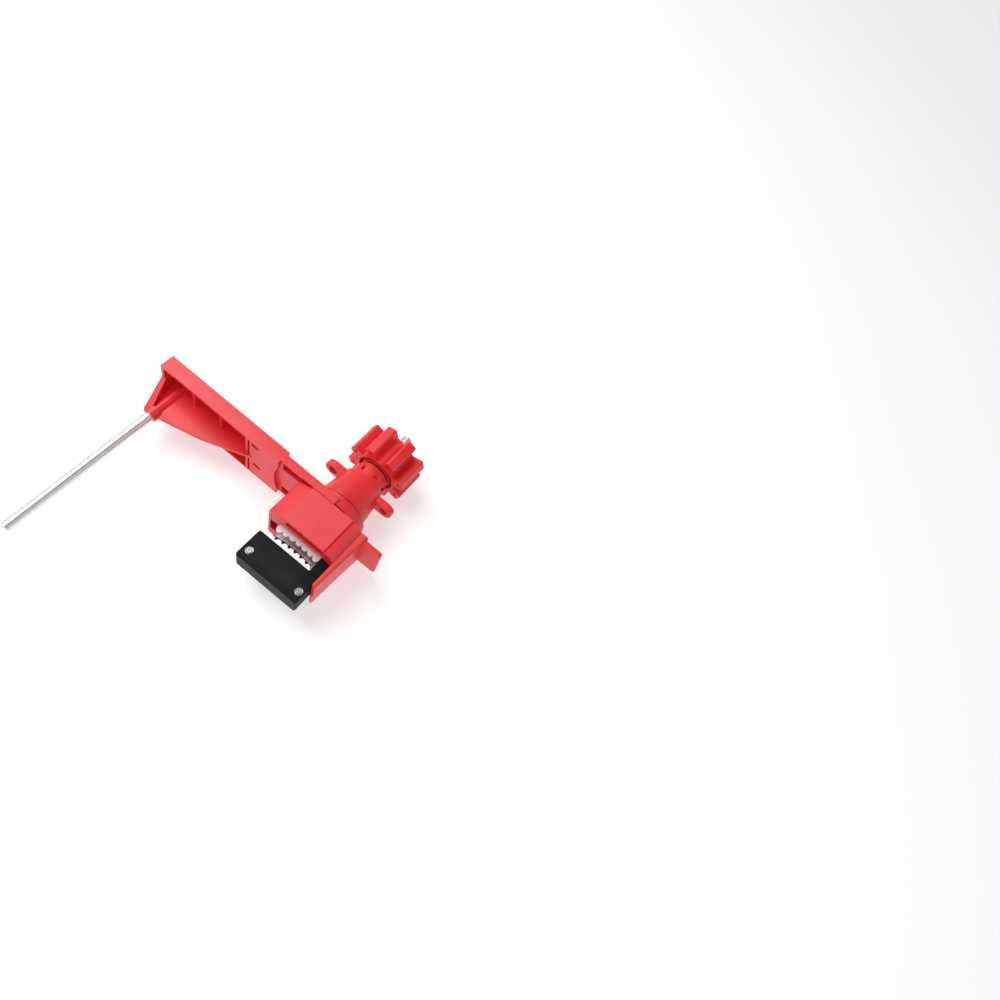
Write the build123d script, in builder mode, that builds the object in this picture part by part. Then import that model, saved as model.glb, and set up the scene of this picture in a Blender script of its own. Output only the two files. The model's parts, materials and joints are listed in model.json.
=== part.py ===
from build123d import *
import math
import os

# Universal valve lockout: a screw clamp with toothed jaws, a lobed hand knob, a sliding
# sleeve with two padlock eyes, and one swinging arm that carries a steel blocking rod.
# Units are millimetres. The device lies on its flat back: +Z is up, +Y runs along the
# clamp screw towards the knob, and the arm reaches out along -X. The origin is on the
# flat back face, straight below the clamp axis.

# Clamp axis and housing
AXIS_Z = 28.0            # height of the clamp axis above the back face
BODY_LEFT = -33.0        # outer face of the housing on the open side of the throat
BODY_RIGHT = 29.3        # face that carries the side cover
JAW_FACE_Y = -32.8       # fixed jaw end of the housing
BODY_END_Y = 0.5         # neck end of the housing
SHOULDER_R, SHOULDER_Y = 24.0, 2.0    # round shoulder that the arm's ring turns on
FLANK_Z = 20.5           # half height of the housing's side walls
PANEL_LEFT, PANEL_RIGHT = -17.5, 21.5
END_WALL = 2.2           # rim left round the hollows of the fixed jaw end
JAW_ARCH = 3.0           # hollow of the jaws over their width
JAW_ARCH_HALF = 25.0

# Neck and clamp screw
NECK_BASE_R = 15.5       # bearing for the arm ring
NECK_R = 14.0
NECK_END_Y = 54.0
STUB_R = 9.0             # journal that carries the knob
STUB_END_Y = 65.0
SCREW_R = 5.0
SCREW_END_Y = 99.5
SCREW_BORE_R = 5.4

# Moving jaw, 4.4 mm short of closed
BRIDGE_TOP_Y = -6.8
BRIDGE_BOTTOM_Y = -14.8
CLOSE_TRAVEL = 4.4
OPEN_TRAVEL = 11.2
BAR_LEFT, BAR_RIGHT = -29.5, 28.8
BAR_BOTTOM_Y, BAR_TOP_Y = -71.3, -45.5
BAR_HALF_Z = 10.6
RIB_END_Y, RIB_ARCH = -41.2, 1.9      # arched rib of the jaw between its toothed plates
LEG_LEFT = 19.0
LEG_HALF_Z = 9.6
SLIDE_GAP = 0.3          # clearance round everything that slides or turns

# Toothed steel plates, a front and a rear one on each jaw
PLATE_INNER_Z = 7.2
PLATE_T = 2.0
TOOTH_PITCH = 5.8
TOOTH_DEPTH = 2.2
PLATE_RIGHT = 18.6
UPPER_TEETH, LOWER_TEETH = 7, 8
UPPER_TIP_Y = -39.2      # tips at the two ends of the arch
LOWER_TIP_Y = -43.8
UPPER_BASE_Y = -27.6     # edge of the upper plates inside the housing
SEAT_HALF_Z = 14.0       # half height of the arched seat between the panels

# Lock sleeve
SLEEVE_BASE_R, SLEEVE_TOP_R = 21.5, 18.2
SLEEVE_BASE_Y, SLEEVE_TOP_Y = 13.3, 40.5
CROWN_R = 16.4           # notched crown that enters the knob when the sleeve is pushed up
CROWN_END_Y = 49.0
NOTCHES = 8
EAR_X = 26.3
EAR_R = 7.7
EAR_Y0, EAR_Y1 = 33.5, 39.0
EYE_R = 4.0
SLEEVE_TRAVEL = 11.0

# Knob
KNOB_Y0, KNOB_Y1 = 55.6, 85.0
KNOB_TIP_R = 28.5
KNOB_ROOT_R = 18.2
LOBES = 8
LOBE_W = 9.6
LOBE_TURN = 22.5         # turn of the first lobe from straight up; the eyes face the valleys
NUT_AF = 22.0

# Arm and rod
ARM_TIP_X = -170.7
ARM_HALF_Z = 28.0
ARM_TOP_Y, ARM_LOW_Y = 10.3, -2.5
ARM_WALL = 2.8
ARM_CLEAR_R = 55.8       # the deep part of the arm starts outside this radius
ARM_CLEAR_X = -52.5      # and beyond this plane
RING_R = 25.0
RING_Y0, RING_Y1 = 2.3, 11.5
PLATE_Y0, PLATE_Y1 = 0.8, 7.6    # thin plate of the arm between its deep part and the ring
RIBS_X = (-140.6, -113.1, -84.2)
ROD_X = -157.0
ROD_R = 4.0
SHANK_R = 2.6            # turned-down end of the rod, moulded into the arm
ROD_TOP_Y, ROD_END_Y = 6.0, -157.9
BOSS_R, RIDGE_R = 5.8, 4.4       # boss at the rod's exit, and the slimmer ridge behind it
BOSS_END_Y, BOSS_TOP_Y = -29.8, -22.5
END_SLOPE_X = 7.5        # how far the arm's end wall leans in on its way to the boss
END_FACE_T = 4.2
END_HALF_Z = 13.0        # half width of the end wall
LOW_RIB = 7.5            # height of the two low ribs under the deck
PAD_HALF_Z = 15.5
WEB_HALF_Z = 1.5         # half thickness of the deep middle web
RIB_T = 2.5
GROOVE_W, GROOVE_DEPTH = 1.6, 5.0

# Side cover with its stop tab
COVER_OUT_LOW, COVER_OUT_END = 32.6, 36.0
COVER_LOW_Y = -56.3
TAB_X, TAB_HALF_Z = 52.3, 19.0
TAB_Y0, TAB_Y1 = -5.2, -1.6

# Pins, screws, rings and nut
PIN_R = 1.5
COVER_PIN_IN, COVER_PIN_OUT = 8.0, 2.4    # the cover's press pins are blind at both ends
JAW_PIN_Y, JAW_PIN_R = -29.35, 1.25       # pins through the upper toothed plates
JAW_PIN_HALF_Z = 12.0
ROD_PIN_Y, ROD_PIN_R = -26.0, 1.25        # cross pin of the rod, in the boss
SCREW_PIN_Y = -10.8      # pin that locks the clamp screw in the jaw's bridge
SNAP_T = 1.2             # thickness of both retaining rings
KNOB_SNAP_Y = 62.3
HEAD_SEAT_Z = PLATE_INNER_Z + PLATE_T
HEAD_R, HEAD_T = 2.4, 1.0
HEAD_POCKET_R = 3.2
JAW_NUT_R, JAW_NUT_T = 2.75, 1.2          # inner radius and thickness of the small nuts
NUT_Y0, NUT_Y1, COVER_Y1 = 67.0, 77.0, 80.0

os.makedirs("parts", exist_ok=True)


def across(y):
    """Plane square to the clamp axis at y, local x along +X and local y up."""
    return Plane(origin=(0, y, AXIS_Z), x_dir=(1, 0, 0), z_dir=(0, -1, 0))


def lengthwise(z):
    """Plane along the clamp axis at height z from it, local x along +X and y along +Y."""
    return Plane.XY.offset(AXIS_Z + z)


def arch_rise(x):
    """Rise of the jaws' shallow arch at x, none at its two ends."""
    return JAW_ARCH * (1 - (x / JAW_ARCH_HALF) ** 2)


cover_face = Plane(origin=(BODY_RIGHT, 0, AXIS_Z), x_dir=(0, 1, 0), z_dir=(1, 0, 0))


def save(builder, name):
    """Label a finished piece and write it as its own file."""
    builder.part.label = name
    export_step(builder.part, "parts/" + name + ".step")


# ---------------------------------------------------------------- housing
body_top = FLANK_Z + 5.6
arch_r = (JAW_ARCH_HALF**2 + JAW_ARCH**2) / (2 * JAW_ARCH)
cavity_top_y = BRIDGE_TOP_Y + CLOSE_TRAVEL + SLIDE_GAP
cavity_bottom_y = BRIDGE_BOTTOM_Y - OPEN_TRAVEL - SLIDE_GAP
pin_xs = (-18.5, 16.0)
cover_pin_spots = [(-26.0, 14.5), (-26.0, -14.5), (-6.0, 14.5), (-6.0, -14.5)]
upper_width = UPPER_TEETH * TOOTH_PITCH
upper_mid_x = PLATE_RIGHT - upper_width / 2
upper_left_x = PLATE_RIGHT - upper_width
lower_width = LOWER_TEETH * TOOTH_PITCH
lower_mid_x = PLATE_RIGHT - lower_width / 2

with BuildPart() as housing:
    with BuildSketch(across(JAW_FACE_Y)):
        with BuildLine():
            Polyline(
                (BODY_LEFT, 0),
                (BODY_LEFT, FLANK_Z),
                (PANEL_LEFT - 1.5, body_top),
                (PANEL_RIGHT + 1.5, body_top),
                (PANEL_RIGHT + 4.0, body_top - 0.9),
                (BODY_RIGHT, FLANK_Z),
                (BODY_RIGHT, 0),
            )
            Line((BODY_RIGHT, 0), (BODY_LEFT, 0))
        make_face()
        mirror(about=Plane.XZ)
    extrude(amount=-(BODY_END_Y - JAW_FACE_Y))
    fillet(housing.edges().filter_by(Axis.Y).group_by(Axis.X)[0], radius=2.5)
    with BuildSketch(across(JAW_FACE_Y)):
        Rectangle(PANEL_RIGHT - PANEL_LEFT, 2 * AXIS_Z)
    extrude(amount=-(BODY_END_Y - JAW_FACE_Y))
    # neck: shoulder, arm bearing, sleeve guide with two key ribs, then the knob's journal
    with BuildSketch(across(BODY_END_Y)):
        Circle(SHOULDER_R)
    extrude(amount=-(SHOULDER_Y - BODY_END_Y))
    with BuildSketch(across(BODY_END_Y)):
        Circle(NECK_BASE_R)
    extrude(amount=-(RING_Y1 + 0.3 - BODY_END_Y))
    with BuildSketch(across(RING_Y1)):
        Circle(NECK_R)
    extrude(amount=-(NECK_END_Y - RING_Y1))
    with BuildSketch(across(RING_Y1 + 2.0)):
        Rectangle(4.0, 2 * (NECK_R + 1.0))
    extrude(amount=-(NECK_END_Y - 4.0 - RING_Y1 - 2.0))
    with BuildSketch(across(NECK_END_Y)):
        Circle(STUB_R)
    extrude(amount=-(STUB_END_Y - NECK_END_Y))
    # hollow of the fixed jaw end
    with BuildSketch(lengthwise(-SEAT_HALF_Z)):
        with Locations((0, JAW_FACE_Y - arch_r + JAW_ARCH)):
            Circle(arch_r)
    extrude(amount=2 * SEAT_HALF_Z, mode=Mode.SUBTRACT)
    # room for the jaw's bridge, and the channel its leg slides in
    with BuildSketch(lengthwise(-LEG_HALF_Z - SLIDE_GAP)):
        with Locations(((-13.0 - 2 * SLIDE_GAP + BODY_RIGHT) / 2, (cavity_top_y + cavity_bottom_y) / 2)):
            Rectangle(BODY_RIGHT + 13.0 + 2 * SLIDE_GAP, cavity_top_y - cavity_bottom_y)
        with Locations(((LEG_LEFT - SLIDE_GAP + BODY_RIGHT) / 2, (JAW_FACE_Y + cavity_top_y) / 2 - 2)):
            Rectangle(BODY_RIGHT - LEG_LEFT + SLIDE_GAP, cavity_top_y - JAW_FACE_Y + 4)
    extrude(amount=2 * (LEG_HALF_Z + SLIDE_GAP), mode=Mode.SUBTRACT)
    # screw bore and the groove of each retaining ring
    with BuildSketch(across(cavity_top_y - 1)):
        Circle(SCREW_BORE_R)
    extrude(amount=-(STUB_END_Y - cavity_top_y + 2), mode=Mode.SUBTRACT)
    with BuildSketch(across(KNOB_SNAP_Y)):
        Circle(STUB_R + 1)
        Circle(STUB_R - 1.0, mode=Mode.SUBTRACT)
    extrude(amount=-SNAP_T, mode=Mode.SUBTRACT)
    with BuildSketch(across(RING_Y1 + 0.3)):
        Circle(NECK_R + 3)
        Circle(NECK_R - 0.8, mode=Mode.SUBTRACT)
    extrude(amount=-SNAP_T, mode=Mode.SUBTRACT)
    # seats of the toothed plates
    for z in (PLATE_INNER_Z, -PLATE_INNER_Z - PLATE_T):
        with BuildSketch(lengthwise(z)):
            with Locations((upper_mid_x, (UPPER_BASE_Y + JAW_FACE_Y - 2.0) / 2)):
                Rectangle(upper_width, UPPER_BASE_Y - JAW_FACE_Y + 2.0)
        extrude(amount=PLATE_T, mode=Mode.SUBTRACT)
    # hollows of the moulding at the fixed jaw end: one beside the teeth, one behind each panel
    with BuildSketch(across(JAW_FACE_Y - 1)):
        with Locations(((BODY_LEFT + END_WALL + upper_left_x - 2.5) / 2, -2.5)):
            Rectangle(upper_left_x - 2.5 - BODY_LEFT - END_WALL, 17.0)
        for side in (-1, 1):
            with Locations(((PANEL_LEFT + PANEL_RIGHT) / 2, side * 21.0)):
                Rectangle(PANEL_RIGHT - PANEL_LEFT - 3.0, 6.5)
    extrude(amount=-13.0, mode=Mode.SUBTRACT)
    with BuildSketch(lengthwise(-JAW_PIN_HALF_Z)):
        with Locations(*[(x, JAW_PIN_Y) for x in pin_xs]):
            Circle(JAW_PIN_R)
    extrude(amount=2 * JAW_PIN_HALF_Z, mode=Mode.SUBTRACT)
    with BuildSketch(cover_face):
        with Locations(*cover_pin_spots):
            Circle(PIN_R)
    extrude(amount=-COVER_PIN_IN, mode=Mode.SUBTRACT)
save(housing, "housing")

# ---------------------------------------------------------------- side cover with stop tab
with BuildPart() as side_cover:
    with BuildSketch(lengthwise(-FLANK_Z)):
        with BuildLine():
            Polyline(
                (BODY_RIGHT, COVER_LOW_Y + 1.5),
                (COVER_OUT_LOW, COVER_LOW_Y),
                (COVER_OUT_END, BODY_END_Y),
                (BODY_RIGHT, BODY_END_Y),
                close=True,
            )
        make_face()
    extrude(amount=2 * FLANK_Z)
    chamfer(side_cover.edges().filter_by(lambda e: e.center().X > 34.0 and e.length > 40
                                         and abs(e.center().Z - AXIS_Z) > 15), length=1.4)
    with BuildSketch(across(TAB_Y0)) as tab_section:
        with Locations(((BODY_RIGHT + 4 + TAB_X) / 2, 0)):
            Rectangle(TAB_X - BODY_RIGHT - 4, 2 * TAB_HALF_Z)
        fillet(tab_section.vertices().group_by(Axis.X)[-1], radius=3.0)
    extrude(amount=-(TAB_Y1 - TAB_Y0))
    with BuildSketch(cover_face):
        with Locations(*cover_pin_spots):
            Circle(PIN_R)
    extrude(amount=COVER_PIN_OUT, mode=Mode.SUBTRACT)
save(side_cover, "side_cover")

with BuildPart() as side_cover_pins:
    with BuildSketch(cover_face):
        with Locations(*cover_pin_spots):
            Circle(PIN_R)
    extrude(amount=COVER_PIN_OUT)
    with BuildSketch(cover_face):
        with Locations(*cover_pin_spots):
            Circle(PIN_R)
    extrude(amount=-COVER_PIN_IN)
save(side_cover_pins, "side_cover_pins")


# ---------------------------------------------------------------- toothed plates
def tooth_outline(teeth, base_y, tip_y):
    """Points of a saw-toothed edge, its tips on the shallow arch of the jaws."""
    way = 1 if tip_y > base_y else -1
    left = PLATE_RIGHT - teeth * TOOTH_PITCH
    points = [(left, base_y)]
    for i in range(teeth):
        for share, depth in ((0.0, TOOTH_DEPTH), (0.3, 0.0), (0.7, 0.0)):
            x = left + (i + share) * TOOTH_PITCH
            points.append((x, tip_y - way * depth + arch_rise(x)))
    points.append((PLATE_RIGHT, tip_y - way * TOOTH_DEPTH + arch_rise(PLATE_RIGHT)))
    points.append((PLATE_RIGHT, base_y))
    return points


for place, z in (("front", PLATE_INNER_Z), ("rear", -PLATE_INNER_Z - PLATE_T)):
    with BuildPart() as upper_teeth:
        with BuildSketch(lengthwise(z)):
            with BuildLine():
                Polyline(*tooth_outline(UPPER_TEETH, UPPER_BASE_Y, UPPER_TIP_Y), close=True)
            make_face()
            with Locations(*[(x, JAW_PIN_Y) for x in pin_xs]):
                Circle(JAW_PIN_R, mode=Mode.SUBTRACT)
        extrude(amount=PLATE_T)
    save(upper_teeth, "upper_teeth_" + place)

with BuildPart() as upper_jaw_pins:
    with BuildSketch(lengthwise(-JAW_PIN_HALF_Z)):
        with Locations(*[(x, JAW_PIN_Y) for x in pin_xs]):
            Circle(JAW_PIN_R)
    extrude(amount=2 * JAW_PIN_HALF_Z)
save(upper_jaw_pins, "upper_jaw_pins")

# ---------------------------------------------------------------- rings on the neck
with BuildPart() as thrust_washer:
    with BuildSketch(across(NECK_END_Y)):
        Circle(12.4)
        Circle(STUB_R + 0.1, mode=Mode.SUBTRACT)
    extrude(amount=-1.3)
save(thrust_washer, "thrust_washer")


def snap_ring(y, groove_r, out_r, thick):
    """Open retaining ring in a groove, its gap turned to +X."""
    with BuildPart() as ring:
        with BuildSketch(across(y)):
            Circle(out_r)
            Circle(groove_r, mode=Mode.SUBTRACT)
            with Locations((out_r, 0)):
                Rectangle(out_r, 3.0, mode=Mode.SUBTRACT)
        extrude(amount=-thick)
    return ring


arm_retaining_ring = snap_ring(RING_Y1 + 0.3, NECK_R - 0.8, 17.4, SNAP_T)
save(arm_retaining_ring, "arm_retaining_ring")
knob_retaining_ring = snap_ring(KNOB_SNAP_Y, STUB_R - 1.0, 10.6, SNAP_T)
save(knob_retaining_ring, "knob_retaining_ring")

# ---------------------------------------------------------------- lock sleeve
with BuildPart() as lock_sleeve:
    with BuildSketch(lengthwise(0)):
        with BuildLine():
            Polyline(
                (0, SLEEVE_BASE_Y), (SLEEVE_BASE_R, SLEEVE_BASE_Y), (SLEEVE_BASE_R, SLEEVE_BASE_Y + 1.6),
                (SLEEVE_TOP_R, SLEEVE_TOP_Y), (CROWN_R, SLEEVE_TOP_Y), (CROWN_R, CROWN_END_Y),
                (0, CROWN_END_Y), close=True,
            )
        make_face()
    revolve(axis=Axis((0, 0, AXIS_Z), (0, 1, 0)))
    with BuildSketch(across(EAR_Y0)):
        with Locations((-EAR_X, 0), (EAR_X, 0)):
            Circle(EAR_R)
        Rectangle(2 * EAR_X, 2 * EAR_R)
    extrude(amount=-(EAR_Y1 - EAR_Y0))
    with BuildSketch(across(SLEEVE_BASE_Y)):
        Circle(NECK_R + SLIDE_GAP)
        Rectangle(4.6, 2 * (NECK_R + 1.0 + SLIDE_GAP))
    extrude(amount=-(CROWN_END_Y - SLEEVE_BASE_Y), mode=Mode.SUBTRACT)
    with BuildSketch(across(EAR_Y0)):
        with Locations((-EAR_X, 0), (EAR_X, 0)):
            Circle(EYE_R)
    extrude(amount=-(EAR_Y1 - EAR_Y0), mode=Mode.SUBTRACT)
    with BuildSketch(across(CROWN_END_Y - 5.0)):
        with PolarLocations(CROWN_R, NOTCHES, start_angle=LOBE_TURN):
            Rectangle(8.0, 4.6)
    extrude(amount=-5.0, mode=Mode.SUBTRACT)
save(lock_sleeve, "lock_sleeve")

# ---------------------------------------------------------------- blocking arm
web_low = [(-78.0, ARM_LOW_Y), (-116.5, -18.0), (ROD_X + 3, BOSS_END_Y + 2)]
deck_y = ARM_TOP_Y - ARM_WALL

with BuildPart() as blocking_arm:
    # deck and side walls of the channel, and the closed part next to the clamp
    with BuildSketch(lengthwise(-ARM_HALF_Z)):
        with Locations((ARM_TIP_X / 2, (ARM_TOP_Y + ARM_LOW_Y) / 2)):
            Rectangle(-ARM_TIP_X, ARM_TOP_Y - ARM_LOW_Y)
    extrude(amount=2 * ARM_HALF_Z)
    with BuildSketch(across(ARM_LOW_Y - 1)):
        Circle(ARM_CLEAR_R)
        with Locations((ARM_CLEAR_X / 2, 0)):
            Rectangle(-ARM_CLEAR_X, 2 * ARM_HALF_Z + 2)
    extrude(amount=-(ARM_TOP_Y - ARM_LOW_Y + 2), mode=Mode.SUBTRACT)
    bays = [ARM_TIP_X + ARM_WALL - RIB_T / 2] + list(RIBS_X)
    with BuildSketch(across(ARM_LOW_Y)):
        for left, right in zip(bays, bays[1:]):
            for side in (-1, 1):
                inner, outer = WEB_HALF_Z, ARM_HALF_Z - ARM_WALL
                with Locations(((left + right) / 2, side * (inner + outer) / 2)):
                    Rectangle(right - left - RIB_T, outer - inner)
    extrude(amount=-(deck_y - ARM_LOW_Y), mode=Mode.SUBTRACT)
    with BuildSketch(across(ARM_LOW_Y - 1)):
        for rib_x in RIBS_X[:2]:
            for side in (-1, 1):
                with Locations((rib_x, side * (1.5 + ARM_HALF_Z - ARM_WALL) / 2)):
                    Rectangle(3.0, ARM_HALF_Z - ARM_WALL - 1.5)
    extrude(amount=-(deck_y - LOW_RIB - ARM_LOW_Y + 1), mode=Mode.SUBTRACT)
    # pockets in the closed part, open on the knob side
    with BuildSketch(across(ARM_LOW_Y + 3.0)):
        with Locations((-64.5, 14.0), (-64.5, -14.0)):
            Rectangle(9.0, 20.0)
    extrude(amount=-(ARM_TOP_Y - ARM_LOW_Y), mode=Mode.SUBTRACT)
    # two short blind slots in the closed part's floor
    with BuildSketch(across(ARM_LOW_Y - 1)):
        with Locations((-75.6, 22.0), (-73.6, -9.0)):
            Rectangle(6.8, 4.0, rotation=-8)
    extrude(amount=-9.0, mode=Mode.SUBTRACT)
    # narrow groove between the last rib and the closed part
    with BuildSketch(across(ARM_LOW_Y - 1)):
        with Locations((RIBS_X[-1] + RIB_T / 2 + GROOVE_W / 2, 0)):
            Rectangle(GROOVE_W, 2 * (ARM_HALF_Z - ARM_WALL))
    extrude(amount=-GROOVE_DEPTH - 1, mode=Mode.SUBTRACT)
    # deep middle web down to the rod boss
    with BuildSketch(lengthwise(-WEB_HALF_Z)):
        with BuildLine():
            Polyline(*web_low, (ROD_X + 3, deck_y), (-78.0, deck_y), close=True)
        make_face()
    extrude(amount=2 * WEB_HALF_Z)
    # leaning end wall, cut from the side and from the end
    with BuildSketch(lengthwise(-END_HALF_Z)):
        with BuildLine():
            Polyline(
                (ARM_TIP_X, deck_y), (ARM_TIP_X, ARM_LOW_Y), (ARM_TIP_X + END_SLOPE_X, BOSS_END_Y + 0.6),
                (ROD_X, BOSS_END_Y + 0.6), (ARM_TIP_X + END_FACE_T, ARM_LOW_Y),
                (ARM_TIP_X + END_FACE_T, deck_y), close=True,
            )
        make_face()
    extrude(amount=2 * END_HALF_Z)
    with BuildSketch(Plane(origin=(ARM_TIP_X - 1, 0, AXIS_Z), x_dir=(0, 1, 0), z_dir=(1, 0, 0))):
        for side in (-1, 1):
            with BuildLine():
                Polyline(
                    (ARM_LOW_Y, side * END_HALF_Z), (BOSS_END_Y, side * 3.8),
                    (BOSS_END_Y - 2, side * 3.8), (BOSS_END_Y - 2, side * (END_HALF_Z + 1)),
                    (ARM_LOW_Y, side * (END_HALF_Z + 1)), close=True,
                )
            make_face()
    extrude(amount=ROD_X - ARM_TIP_X + 2.0, mode=Mode.SUBTRACT)
    with BuildSketch(lengthwise(-WEB_HALF_Z)):
        with BuildLine():
            Polyline(
                (ARM_TIP_X + 2, deck_y), (ARM_TIP_X + 2, ARM_LOW_Y),
                (ARM_TIP_X + END_SLOPE_X + 2, BOSS_END_Y + 1.0), (ROD_X, BOSS_END_Y + 1.0),
                (ROD_X, deck_y), close=True,
            )
        make_face()
    extrude(amount=2 * WEB_HALF_Z)
    with BuildSketch(across(BOSS_END_Y)):
        with Locations((ROD_X, 0)):
            Circle(RIDGE_R)
    extrude(amount=-(deck_y + 1 - BOSS_END_Y))
    with BuildSketch(across(BOSS_END_Y)):
        with Locations((ROD_X, 0)):
            Circle(BOSS_R)
    extrude(amount=-(BOSS_TOP_Y - BOSS_END_Y))
    # thin plate between two rims, hollow behind them, with a pad in the middle
    with BuildSketch(across(PLATE_Y0)):
        with Locations((-30.0, 0)):
            Rectangle(60.0, 2 * ARM_HALF_Z)
    extrude(amount=-(PLATE_Y1 - PLATE_Y0))
    with BuildSketch(across(PLATE_Y0)):
        for side in (-1, 1):
            with Locations((-25.0, side * (PAD_HALF_Z + ARM_HALF_Z - ARM_WALL) / 2)):
                Rectangle(50.0, ARM_HALF_Z - ARM_WALL - PAD_HALF_Z)
    extrude(amount=-(PLATE_Y1 - PLATE_Y0 - 1.8), mode=Mode.SUBTRACT)
    with BuildSketch(across(RING_Y0)):
        Circle(RING_R + 1.2)
    extrude(amount=-(PLATE_Y1 - RING_Y0))
    with BuildSketch(across(RING_Y0)):
        Circle(RING_R)
    extrude(amount=-(RING_Y1 - RING_Y0))
    with BuildSketch(across(PLATE_Y0 - 1)):
        Circle(SHOULDER_R + SLIDE_GAP)
    extrude(amount=-(RING_Y0 - PLATE_Y0 + 1), mode=Mode.SUBTRACT)
    with BuildSketch(across(RING_Y0 - 1)):
        Circle(NECK_BASE_R + SLIDE_GAP)
    extrude(amount=-(RING_Y1 - RING_Y0 + 2), mode=Mode.SUBTRACT)
    # rod socket and its blind cross pin
    with BuildSketch(across(ROD_TOP_Y)):
        with Locations((ROD_X, 0)):
            Circle(SHANK_R)
    extrude(amount=ROD_TOP_Y - BOSS_END_Y + 1, mode=Mode.SUBTRACT)
    with BuildSketch(lengthwise(-BOSS_R - 1)):
        with Locations((ROD_X, ROD_PIN_Y)):
            Circle(ROD_PIN_R)
    extrude(amount=BOSS_R + 1, mode=Mode.SUBTRACT)
save(blocking_arm, "blocking_arm")

with BuildPart() as blocking_rod:
    with BuildSketch(across(ROD_TOP_Y)):
        with Locations((ROD_X, 0)):
            Circle(SHANK_R)
    extrude(amount=ROD_TOP_Y - BOSS_END_Y)
    with BuildSketch(across(BOSS_END_Y)):
        with Locations((ROD_X, 0)):
            Circle(ROD_R)
    extrude(amount=BOSS_END_Y - ROD_END_Y)
    chamfer(blocking_rod.faces().sort_by(Axis.Y)[0].edges(), length=0.6)
    with BuildSketch(lengthwise(-SHANK_R - 1)):
        with Locations((ROD_X, ROD_PIN_Y)):
            Circle(ROD_PIN_R)
    extrude(amount=SHANK_R + 1, mode=Mode.SUBTRACT)
save(blocking_rod, "blocking_rod")

with BuildPart() as rod_pin:
    with BuildSketch(lengthwise(-BOSS_R + 0.3)):
        with Locations((ROD_X, ROD_PIN_Y)):
            Circle(ROD_PIN_R)
    extrude(amount=BOSS_R - 0.3)
save(rod_pin, "rod_pin")

# ---------------------------------------------------------------- moving jaw
jaw_screw_spots = [(-24.0, -62.5), (24.0, -62.5)]
plate_base_y = -66.0

with BuildPart() as jaw_block:
    with BuildSketch(lengthwise(-BAR_HALF_Z)) as bar_section:
        with Locations(((BAR_LEFT + BAR_RIGHT) / 2, (BAR_BOTTOM_Y + BAR_TOP_Y) / 2)):
            Rectangle(BAR_RIGHT - BAR_LEFT, BAR_TOP_Y - BAR_BOTTOM_Y)
        fillet(bar_section.vertices(), radius=2.0)
    extrude(amount=2 * BAR_HALF_Z)
    fillet(jaw_block.faces().group_by(Axis.Z)[0].edges() + jaw_block.faces().group_by(Axis.Z)[-1].edges(),
           radius=1.2)
    with BuildSketch(lengthwise(-PLATE_INNER_Z + SLIDE_GAP)):
        with BuildLine():
            Polyline((17.0, RIB_END_Y), (17.0, BAR_TOP_Y - 1), (-20.0, BAR_TOP_Y - 1), (-20.0, RIB_END_Y))
            ThreePointArc((-20.0, RIB_END_Y), (-1.5, RIB_END_Y + RIB_ARCH), (17.0, RIB_END_Y))
        make_face()
    extrude(amount=2 * (PLATE_INNER_Z - SLIDE_GAP))
    # leg in the housing's channel and the bridge that the screw pulls
    with BuildSketch(lengthwise(-LEG_HALF_Z)):
        with Locations(((LEG_LEFT + BAR_RIGHT) / 2, (BAR_TOP_Y - 2 + BRIDGE_TOP_Y) / 2)):
            Rectangle(BAR_RIGHT - LEG_LEFT, BRIDGE_TOP_Y - BAR_TOP_Y + 2)
        with Locations(((-13.0 + BAR_RIGHT) / 2, (BRIDGE_TOP_Y + BRIDGE_BOTTOM_Y) / 2)):
            Rectangle(BAR_RIGHT + 13.0, BRIDGE_TOP_Y - BRIDGE_BOTTOM_Y)
    extrude(amount=2 * LEG_HALF_Z)
    with BuildSketch(across(BRIDGE_BOTTOM_Y + 1.0)):
        Circle(SCREW_R)
    extrude(amount=-(BRIDGE_TOP_Y - BRIDGE_BOTTOM_Y), mode=Mode.SUBTRACT)
    with BuildSketch(lengthwise(-LEG_HALF_Z)):
        with Locations((0, SCREW_PIN_Y)):
            Circle(PIN_R)
    extrude(amount=2 * LEG_HALF_Z, mode=Mode.SUBTRACT)
    # slots of the toothed plates, screw holes and nut pockets
    for z in (PLATE_INNER_Z, -PLATE_INNER_Z - PLATE_T):
        with BuildSketch(lengthwise(z)):
            with Locations((lower_mid_x, (plate_base_y + BAR_TOP_Y + 2) / 2)):
                Rectangle(lower_width, BAR_TOP_Y + 2 - plate_base_y)
            with Locations((0, (plate_base_y - 52.0) / 2)):
                Rectangle(54.0, -52.0 - plate_base_y)
        extrude(amount=PLATE_T, mode=Mode.SUBTRACT)
    with BuildSketch(lengthwise(-BAR_HALF_Z)):
        with Locations(*jaw_screw_spots):
            Circle(PIN_R)
    extrude(amount=2 * BAR_HALF_Z, mode=Mode.SUBTRACT)
    with BuildSketch(lengthwise(HEAD_SEAT_Z)):
        with Locations(*jaw_screw_spots):
            Circle(HEAD_POCKET_R)
    extrude(amount=2.0, mode=Mode.SUBTRACT)
    with BuildSketch(lengthwise(-BAR_HALF_Z)):
        with Locations(*jaw_screw_spots):
            RegularPolygon(JAW_NUT_R, 6, major_radius=False)
    extrude(amount=JAW_NUT_T, mode=Mode.SUBTRACT)
save(jaw_block, "jaw_block")

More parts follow.
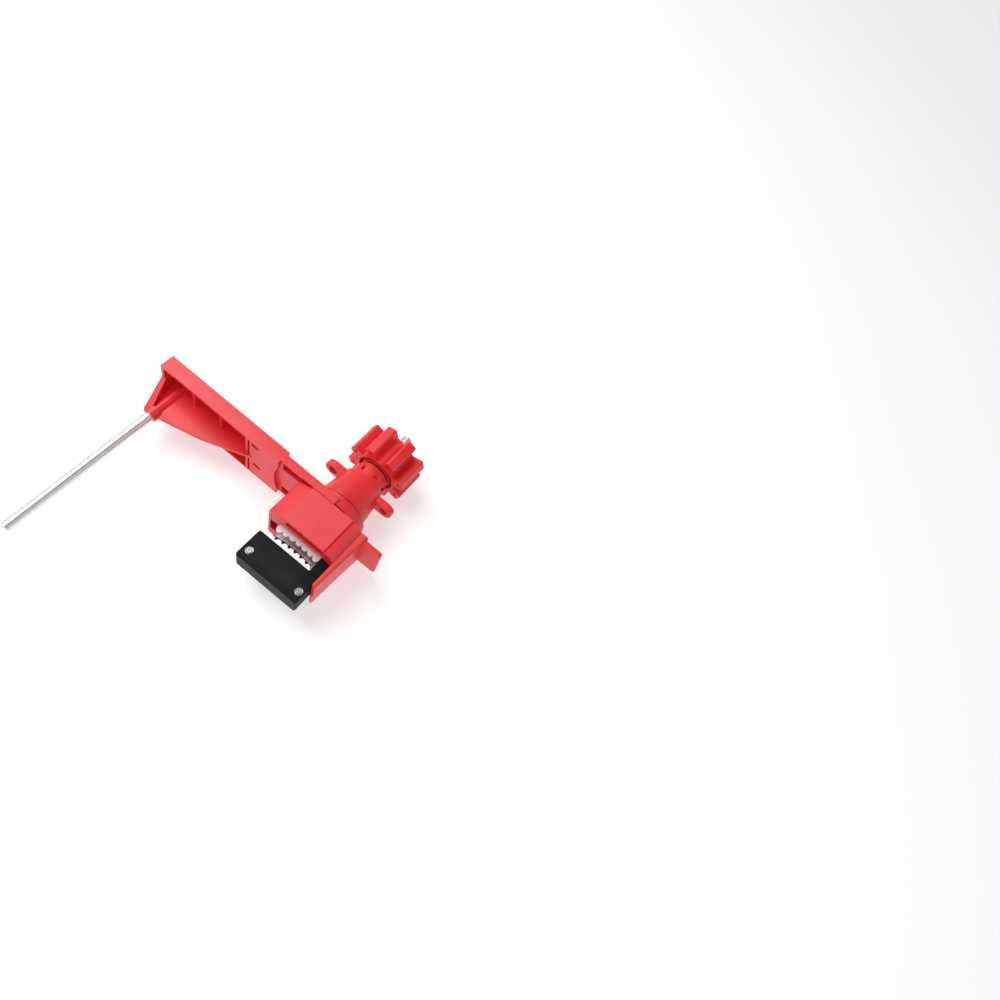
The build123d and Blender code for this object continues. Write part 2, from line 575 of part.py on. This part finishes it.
for place, z in (("front", PLATE_INNER_Z), ("rear", -PLATE_INNER_Z - PLATE_T)):
    with BuildPart() as lower_teeth:
        with BuildSketch(lengthwise(z)):
            with BuildLine():
                Polyline(*tooth_outline(LOWER_TEETH, plate_base_y, LOWER_TIP_Y), close=True)
            make_face()
            with Locations((0, (plate_base_y - 52.0) / 2)):
                Rectangle(54.0, -52.0 - plate_base_y)
            with Locations(*jaw_screw_spots):
                Circle(PIN_R, mode=Mode.SUBTRACT)
        extrude(amount=PLATE_T)
    save(lower_teeth, "lower_teeth_" + place)

with BuildPart() as jaw_screws:
    with BuildSketch(lengthwise(-BAR_HALF_Z + 0.4)):
        with Locations(*jaw_screw_spots):
            Circle(PIN_R)
    extrude(amount=BAR_HALF_Z + HEAD_SEAT_Z - 0.4)
    with BuildSketch(lengthwise(HEAD_SEAT_Z)):
        with Locations(*jaw_screw_spots):
            Circle(HEAD_R)
    extrude(amount=HEAD_T)
    chamfer(jaw_screws.faces().group_by(Axis.Z)[-1].edges(), length=0.35)
    with BuildSketch(lengthwise(HEAD_SEAT_Z + HEAD_T)):
        with Locations(*jaw_screw_spots):
            Rectangle(2.8, 0.6)
            Rectangle(0.6, 2.8)
    extrude(amount=-0.7, mode=Mode.SUBTRACT)
save(jaw_screws, "jaw_screws")

with BuildPart() as jaw_nuts:
    with BuildSketch(lengthwise(-BAR_HALF_Z)):
        with Locations(*jaw_screw_spots):
            RegularPolygon(JAW_NUT_R, 6, major_radius=False)
            Circle(PIN_R, mode=Mode.SUBTRACT)
    extrude(amount=JAW_NUT_T)
save(jaw_nuts, "jaw_nuts")

with BuildPart() as clamp_screw:
    with BuildSketch(across(BRIDGE_BOTTOM_Y + 1.0)):
        Circle(SCREW_R)
    extrude(amount=-(SCREW_END_Y - BRIDGE_BOTTOM_Y - 1.0))
    chamfer(clamp_screw.faces().sort_by(Axis.Y)[-1].edges(), length=1.0)
    with BuildSketch(lengthwise(-LEG_HALF_Z)):
        with Locations((0, SCREW_PIN_Y)):
            Circle(PIN_R)
    extrude(amount=2 * LEG_HALF_Z, mode=Mode.SUBTRACT)
save(clamp_screw, "clamp_screw")

with BuildPart() as screw_pin:
    with BuildSketch(lengthwise(-LEG_HALF_Z + 0.3)):
        with Locations((0, SCREW_PIN_Y)):
            Circle(PIN_R)
    extrude(amount=2 * (LEG_HALF_Z - 0.3))
save(screw_pin, "screw_pin")

# ---------------------------------------------------------------- knob and its nut
nut_corner_r = NUT_AF / math.sqrt(3)

with BuildPart() as knob:
    with BuildSketch(across(KNOB_Y0)) as knob_section:
        Circle(KNOB_ROOT_R)
        with PolarLocations(0, LOBES, start_angle=90 - LOBE_TURN):
            with Locations((KNOB_TIP_R / 2, 0)):
                Rectangle(KNOB_TIP_R, LOBE_W)
        fillet(knob_section.vertices().filter_by(
            lambda v: math.hypot(v.X, v.Z - AXIS_Z) > KNOB_TIP_R - 1.0), radius=2.2)
        fillet(knob_section.vertices().filter_by(
            lambda v: math.hypot(v.X, v.Z - AXIS_Z) < KNOB_ROOT_R + 0.5), radius=2.2)
    extrude(amount=-(KNOB_Y1 - KNOB_Y0))
    chamfer(knob.faces().sort_by(Axis.Y)[-1].outer_wire().edges(), length=0.8)
    with BuildSketch(across(KNOB_Y0)):
        Circle(STUB_R + SLIDE_GAP)
    extrude(amount=-(KNOB_Y1 - KNOB_Y0), mode=Mode.SUBTRACT)
    with BuildSketch(across(62.0)):
        RegularPolygon(NUT_AF / 2, 6, major_radius=False)
    extrude(amount=-(KNOB_Y1 - 62.0), mode=Mode.SUBTRACT)
    with BuildSketch(across(NUT_Y1)):
        Circle(nut_corner_r)
    extrude(amount=-(KNOB_Y1 - NUT_Y1), mode=Mode.SUBTRACT)
    # ring groove that takes the sleeve's crown, and small core holes in the lobe ends
    with BuildSketch(across(KNOB_Y0)):
        Circle(CROWN_R + 0.4)
        Circle(NECK_R - 0.1, mode=Mode.SUBTRACT)
    extrude(amount=-(CROWN_END_Y + SLEEVE_TRAVEL + SLIDE_GAP - KNOB_Y0), mode=Mode.SUBTRACT)
    with BuildSketch(across(KNOB_Y0)):
        with PolarLocations(24.0, LOBES, start_angle=90 - LOBE_TURN):
            Circle(1.3)
    extrude(amount=-8.0, mode=Mode.SUBTRACT)
save(knob, "knob")

with BuildPart() as knob_nut:
    with BuildSketch(across(NUT_Y0)):
        RegularPolygon(NUT_AF / 2, 6, major_radius=False)
        Circle(SCREW_R + 0.06, mode=Mode.SUBTRACT)
    extrude(amount=-(NUT_Y1 - NUT_Y0))
save(knob_nut, "knob_nut")

with BuildPart() as nut_cover:
    with BuildSketch(across(NUT_Y1)):
        Circle(nut_corner_r)
        Circle(SCREW_R + 0.8, mode=Mode.SUBTRACT)
    extrude(amount=-(COVER_Y1 - NUT_Y1))
save(nut_cover, "nut_cover")
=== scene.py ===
import json
import math

import bmesh
import bpy
from mathutils import Euler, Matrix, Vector


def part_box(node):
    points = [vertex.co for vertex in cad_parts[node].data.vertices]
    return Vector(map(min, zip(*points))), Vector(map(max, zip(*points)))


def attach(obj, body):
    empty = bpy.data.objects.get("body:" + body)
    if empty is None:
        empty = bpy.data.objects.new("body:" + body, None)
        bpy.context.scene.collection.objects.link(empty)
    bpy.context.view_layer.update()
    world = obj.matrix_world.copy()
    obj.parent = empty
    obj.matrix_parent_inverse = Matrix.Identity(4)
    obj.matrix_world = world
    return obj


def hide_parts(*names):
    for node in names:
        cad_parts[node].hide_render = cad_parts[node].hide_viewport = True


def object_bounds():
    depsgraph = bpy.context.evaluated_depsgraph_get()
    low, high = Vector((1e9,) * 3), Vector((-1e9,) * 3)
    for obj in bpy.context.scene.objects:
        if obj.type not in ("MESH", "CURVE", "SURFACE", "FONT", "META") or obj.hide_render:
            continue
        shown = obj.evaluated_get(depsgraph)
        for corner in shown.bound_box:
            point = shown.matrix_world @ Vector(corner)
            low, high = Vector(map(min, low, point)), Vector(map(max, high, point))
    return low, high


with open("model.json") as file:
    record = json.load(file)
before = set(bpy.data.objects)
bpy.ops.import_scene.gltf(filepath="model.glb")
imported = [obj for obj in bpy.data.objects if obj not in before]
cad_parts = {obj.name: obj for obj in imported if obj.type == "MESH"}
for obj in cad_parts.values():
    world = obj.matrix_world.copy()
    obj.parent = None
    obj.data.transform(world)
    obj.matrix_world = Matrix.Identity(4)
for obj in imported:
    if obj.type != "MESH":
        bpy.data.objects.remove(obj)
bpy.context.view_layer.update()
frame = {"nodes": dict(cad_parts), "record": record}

MM = 0.001
AXIS_Z = 28.0 * MM       # height of the clamp axis above the back face

# Rounding of the CAD pieces' edges
WELD_GAP = 0.002 * MM    # points closer than this become one
FLAT_TURN = math.radians(0.6)     # facets nearer to one plane than this are merged
ROUND_TURN = math.radians(35.0)   # sharper edges than this are rounded
SHARP_TURN = math.radians(46.0)   # sharper edges than this stay sharp in the shading

# Thread of the clamp screw
THREAD_LEAD = 3.0 * MM
THREAD_DEPTH = 1.3 * MM
FLANK_SHARE, LAND_SHARE = 0.17, 0.33   # shares of the lead that a flank and a land take
CREST_GAP = 0.02 * MM    # the crest stays this far inside the CAD screw
END_CHAMFER = 1.2 * MM
END_UNDERCUT = 0.6 * MM
PLAIN_END_Y = 2.0 * MM   # the screw is plain from the jaw up to here
ROW_STEP = 0.2 * MM
POINTS_AROUND = 48

# Floor and lights
FLOOR_HALF = 6.0
FLOOR_GAP = 0.0001
AIM = (-0.03, -0.02, 0.0)
LIGHTS = (
    ("key", (-0.75, 0.10, 1.10), 0.9, 12.2),
    ("fill", (0.15, -0.95, 0.65), 0.6, 2.2),
    ("right", (0.9, 0.2, 0.7), 0.8, 0.5),
)


# ---------------------------------------------------------------- materials
def new_material(name):
    """Return a material with its shader and a function that adds and links nodes."""
    made = bpy.data.materials.new(name)
    made.use_nodes = True
    tree = made.node_tree
    shader = tree.nodes["Principled BSDF"]

    def add(kind, inputs=None, **settings):
        node = tree.nodes.new(kind)
        for key, value in settings.items():
            setattr(node, key, value)
        for key, value in (inputs or {}).items():
            if isinstance(value, bpy.types.NodeSocket):
                tree.links.new(value, node.inputs[key])
            else:
                node.inputs[key].default_value = value
        return node

    def link(source, target):
        tree.links.new(source, target)

    return made, shader, add, link


def ramp(add, factor, low, high, start=0.0, end=1.0):
    """Colour ramp between two colours over part of a factor's range."""
    node = add("ShaderNodeValToRGB", {"Fac": factor})
    node.color_ramp.elements[0].position = start
    node.color_ramp.elements[0].color = low
    node.color_ramp.elements[1].position = end
    node.color_ramp.elements[1].color = high
    return node.outputs["Color"]


def level(add, factor, low, high):
    """Map a 0 to 1 factor to a range of values."""
    return add("ShaderNodeMapRange", {"Value": factor, "To Min": low, "To Max": high}).outputs["Result"]


def noise(add, place, scale, detail=3.0, rough=0.5):
    """Noise in the piece's own space."""
    node = add("ShaderNodeTexNoise", {"Vector": place, "Scale": scale, "Detail": detail, "Roughness": rough})
    return node.outputs["Fac"]


def moulded_plastic(name, low, high, worn, shine, grain_depth):
    """Injection-moulded plastic: faint colour drift, satin mould grain, paler worn edges."""
    made, shader, add, link = new_material(name)
    place = add("ShaderNodeTexCoord").outputs["Object"]
    drift = ramp(add, noise(add, place, 38.0, 4.0), low, high, 0.35, 0.65)
    edge = add("ShaderNodeNewGeometry").outputs["Pointiness"]
    scuffs = noise(add, place, 420.0, 5.0, 0.7)
    edge_wear = add("ShaderNodeMapRange", {"Value": edge, "From Min": 0.53, "From Max": 0.62})
    wear = add("ShaderNodeMath", {0: edge_wear.outputs["Result"], 1: scuffs},
               operation="MULTIPLY", use_clamp=True)
    mixed = add("ShaderNodeMix", {"Factor": wear.outputs["Value"], 6: drift, 7: worn}, data_type="RGBA")
    link(mixed.outputs[2], shader.inputs["Base Color"])
    link(level(add, noise(add, place, 90.0, 4.0), shine - 0.06, shine + 0.08), shader.inputs["Roughness"])
    grain = noise(add, place, 2600.0, 2.0, 0.6)
    waves = noise(add, place, 150.0, 2.0)
    fine = add("ShaderNodeBump", {"Height": grain, "Strength": 0.28, "Distance": grain_depth})
    broad = add("ShaderNodeBump", {"Height": waves, "Strength": 0.20, "Distance": 0.00025,
                                   "Normal": fine.outputs["Normal"]})
    link(broad.outputs["Normal"], shader.inputs["Normal"])
    shader.inputs["IOR"].default_value = 1.50
    return made


def worked_steel(name, low, high, shine, streak, streak_depth, metal=1.0):
    """Bare or plated steel: tone drift, fine drawing or grinding streaks along one axis."""
    made, shader, add, link = new_material(name)
    place = add("ShaderNodeTexCoord").outputs["Object"]
    stretched = add("ShaderNodeMapping", {"Vector": place, "Scale": streak}).outputs["Vector"]
    lines = noise(add, stretched, 1.0, 4.0, 0.6)
    tone = ramp(add, noise(add, place, 240.0, 4.0), low, high, 0.3, 0.7)
    link(tone, shader.inputs["Base Color"])
    link(level(add, lines, shine - 0.07, shine + 0.10), shader.inputs["Roughness"])
    bump = add("ShaderNodeBump", {"Height": lines, "Strength": 0.25, "Distance": streak_depth})
    link(bump.outputs["Normal"], shader.inputs["Normal"])
    shader.inputs["Metallic"].default_value = metal
    return made


RED = moulded_plastic("red_plastic", (0.73, 0.015, 0.021, 1), (0.83, 0.025, 0.032, 1),
                      (0.90, 0.14, 0.14, 1), 0.40, 0.00006)
BLACK = moulded_plastic("black_plastic", (0.003, 0.003, 0.004, 1), (0.007, 0.007, 0.009, 1),
                        (0.05, 0.05, 0.054, 1), 0.58, 0.00014)
BLACK.node_tree.nodes["Principled BSDF"].inputs["IOR"].default_value = 1.28
ROD_STEEL = worked_steel("rod_steel", (0.72, 0.72, 0.71, 1), (0.82, 0.82, 0.81, 1), 0.27,
                         (3000.0, 60.0, 3000.0), 0.00002, 0.85)
TOOTHED_STEEL = worked_steel("toothed_steel", (0.84, 0.84, 0.84, 1), (0.93, 0.93, 0.92, 1), 0.46,
                             (200.0, 2600.0, 2600.0), 0.00003, 0.55)
FASTENER_STEEL = worked_steel("fastener_steel", (0.30, 0.30, 0.31, 1), (0.46, 0.46, 0.47, 1), 0.34,
                              (900.0, 900.0, 900.0), 0.00003)
DARK_STEEL = worked_steel("dark_steel", (0.05, 0.05, 0.055, 1), (0.09, 0.09, 0.095, 1), 0.38,
                          (1200.0, 1200.0, 1200.0), 0.00003)
BRASS = worked_steel("brass_nut", (0.60, 0.43, 0.16, 1), (0.70, 0.52, 0.22, 1), 0.28,
                     (1500.0, 200.0, 1500.0), 0.00003)
MATERIALS = {
    "red_plastic": RED, "black_plastic": BLACK, "rod_steel": ROD_STEEL, "toothed_steel": TOOTHED_STEEL,
    "fastener_steel": FASTENER_STEEL, "dark_steel": DARK_STEEL, "brass_nut": BRASS,
}


def dress(piece, made):
    """Put one material on every slot of a piece."""
    if not piece.data.materials:
        piece.data.materials.append(made)
    for i in range(len(piece.material_slots)):
        piece.material_slots[i].link = "OBJECT"
        piece.material_slots[i].material = made


def soften(piece, width):
    """Round the sharp edges of a CAD node by modifiers, as a mould or a tumbler leaves them."""
    weld = piece.modifiers.new("weld", "WELD")
    weld.merge_threshold = WELD_GAP
    flat = piece.modifiers.new("flat", "DECIMATE")
    flat.decimate_type = "DISSOLVE"
    flat.angle_limit = FLAT_TURN
    bevel = piece.modifiers.new("bevel", "BEVEL")
    bevel.width = width
    bevel.segments = 2
    bevel.limit_method = "ANGLE"
    bevel.angle_limit = ROUND_TURN
    bevel.use_clamp_overlap = False
    bevel.miter_outer = "MITER_ARC"
    split = piece.modifiers.new("split", "EDGE_SPLIT")
    split.split_angle = SHARP_TURN
    smooth = piece.modifiers.new("normals", "WEIGHTED_NORMAL")
    smooth.keep_sharp = True
    piece.data.shade_smooth()


slot_of = {row["node"]: row["material_slot"] for row in frame["record"]["subparts"]}
for node_name, node in frame["nodes"].items():
    dress(node, MATERIALS[slot_of[node_name]])

EDGE_ROUND = {           # rounding in millimetres
    "housing": 0.3, "side_cover": 0.35, "blocking_arm": 0.35, "lock_sleeve": 0.35, "knob": 0.45,
    "jaw_block": 0.25, "nut_cover": 0.3, "blocking_rod": 0.12, "knob_nut": 0.3,
}
for node_name, width_mm in EDGE_ROUND.items():
    soften(frame["nodes"][node_name], width_mm * MM)


# ---------------------------------------------------------------- clamp screw with its thread
def thread_radius(share, crest, root):
    """Radius of a trapezoidal thread at a share of its lead."""
    share = share % 1.0
    root_start = LAND_SHARE + FLANK_SHARE
    root_end = root_start + LAND_SHARE
    if share < LAND_SHARE:
        return crest
    if share < root_start:
        return crest + (root - crest) * (share - LAND_SHARE) / FLANK_SHARE
    if share < root_end:
        return root
    return root + (crest - root) * (share - root_end) / (1 - root_end)


def build_clamp_screw():
    """The spindle as one turned surface whose radius follows the helix."""
    low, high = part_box("clamp_screw")
    crest = (high[0] - low[0]) / 2 - CREST_GAP
    root = crest - THREAD_DEPTH
    rows = int(round((high[1] - low[1]) / ROW_STEP))
    mesh = bmesh.new()
    rings = []
    for row in range(rows + 1):
        y = low[1] + row * (high[1] - low[1]) / rows
        chamfer_r = min(y - low[1], high[1] - y) + crest - END_CHAMFER
        ring = []
        for i in range(POINTS_AROUND):
            turn = 2 * math.pi * i / POINTS_AROUND
            r = thread_radius(y / THREAD_LEAD - i / POINTS_AROUND, crest, root)
            if y < PLAIN_END_Y:
                r = crest
            r = min(r, max(chamfer_r, root - END_UNDERCUT))
            ring.append(mesh.verts.new((r * math.sin(turn), y, AXIS_Z + r * math.cos(turn))))
        rings.append(ring)
    for ring, after in zip(rings, rings[1:]):
        for i in range(POINTS_AROUND):
            j = (i + 1) % POINTS_AROUND
            mesh.faces.new((ring[i], ring[j], after[j], after[i]))
    mesh.faces.new(rings[0])
    mesh.faces.new(list(reversed(rings[-1])))
    bmesh.ops.recalc_face_normals(mesh, faces=mesh.faces)
    data = bpy.data.meshes.new("threaded_screw")
    mesh.to_mesh(data)
    mesh.free()
    data.shade_smooth()
    piece = bpy.data.objects.new("threaded_screw", data)
    bpy.context.scene.collection.objects.link(piece)
    dress(piece, ROD_STEEL)
    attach(piece, "jaw")
    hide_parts("clamp_screw")


build_clamp_screw()


# ---------------------------------------------------------------- floor, light and camera
def build_floor():
    """Plain pale floor just under the object."""
    mesh = bpy.data.meshes.new("floor")
    corners = [(FLOOR_HALF * x, FLOOR_HALF * y, 0) for x, y in ((-1, -1), (1, -1), (1, 1), (-1, 1))]
    mesh.from_pydata(corners, [], [(0, 1, 2, 3)])
    piece = bpy.data.objects.new("floor", mesh)
    bpy.context.scene.collection.objects.link(piece)
    piece.location.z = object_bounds()[0][2] - FLOOR_GAP
    made, shader, add, link = new_material("floor_white")
    place = add("ShaderNodeTexCoord").outputs["Object"]
    link(ramp(add, noise(add, place, 3.0), (0.66, 0.66, 0.66, 1), (0.69, 0.69, 0.69, 1)),
         shader.inputs["Base Color"])
    shader.inputs["Roughness"].default_value = 0.7
    shader.inputs["Emission Color"].default_value = (1.0, 1.0, 1.0, 1)
    shader.inputs["Emission Strength"].default_value = 0.48
    mesh.materials.append(made)


def build_light(name, place, size, power):
    """Soft square light turned to the middle of the object."""
    data = bpy.data.lights.new(name, "AREA")
    data.energy = power
    data.size = size
    lamp = bpy.data.objects.new(name, data)
    bpy.context.scene.collection.objects.link(lamp)
    lamp.location = place
    lamp.rotation_euler = (Vector(AIM) - Vector(place)).to_track_quat("-Z", "Y").to_euler()


def build_camera():
    """Seen from above the jaw end, looking past the clamp so that it lies left in the frame."""
    data = bpy.data.cameras.new("camera")
    data.sensor_width = 36.0
    data.lens = 27.28
    camera = bpy.data.objects.new("camera", data)
    bpy.context.scene.collection.objects.link(camera)
    camera.location = (0.1132, -0.2075, 0.5948)
    camera.rotation_euler = Euler([math.radians(turn) for turn in (24.42, -16.88, 36.24)])
    bpy.context.scene.camera = camera


def build_world():
    """Pale dome, a little brighter at the horizon than overhead."""
    world = bpy.data.worlds.new("studio")
    world.use_nodes = True
    tree = world.node_tree
    dome = tree.nodes["Background"]
    dome.inputs["Strength"].default_value = 0.62
    place = tree.nodes.new("ShaderNodeTexCoord")
    height = tree.nodes.new("ShaderNodeSeparateXYZ")
    sky = tree.nodes.new("ShaderNodeValToRGB")
    sky.color_ramp.elements[0].position = 0.10
    sky.color_ramp.elements[0].color = (0.95, 0.95, 0.95, 1)
    sky.color_ramp.elements[1].position = 0.85
    sky.color_ramp.elements[1].color = (0.50, 0.50, 0.50, 1)
    tree.links.new(place.outputs["Generated"], height.inputs["Vector"])
    tree.links.new(height.outputs["Z"], sky.inputs["Fac"])
    tree.links.new(sky.outputs["Color"], dome.inputs["Color"])
    bpy.context.scene.world = world


build_floor()
for light_name, light_place, light_size, light_power in LIGHTS:
    build_light(light_name, light_place, light_size, light_power)
build_camera()
build_world()
bpy.context.scene.view_settings.view_transform = "Standard"
bpy.context.scene.view_settings.look = "None"
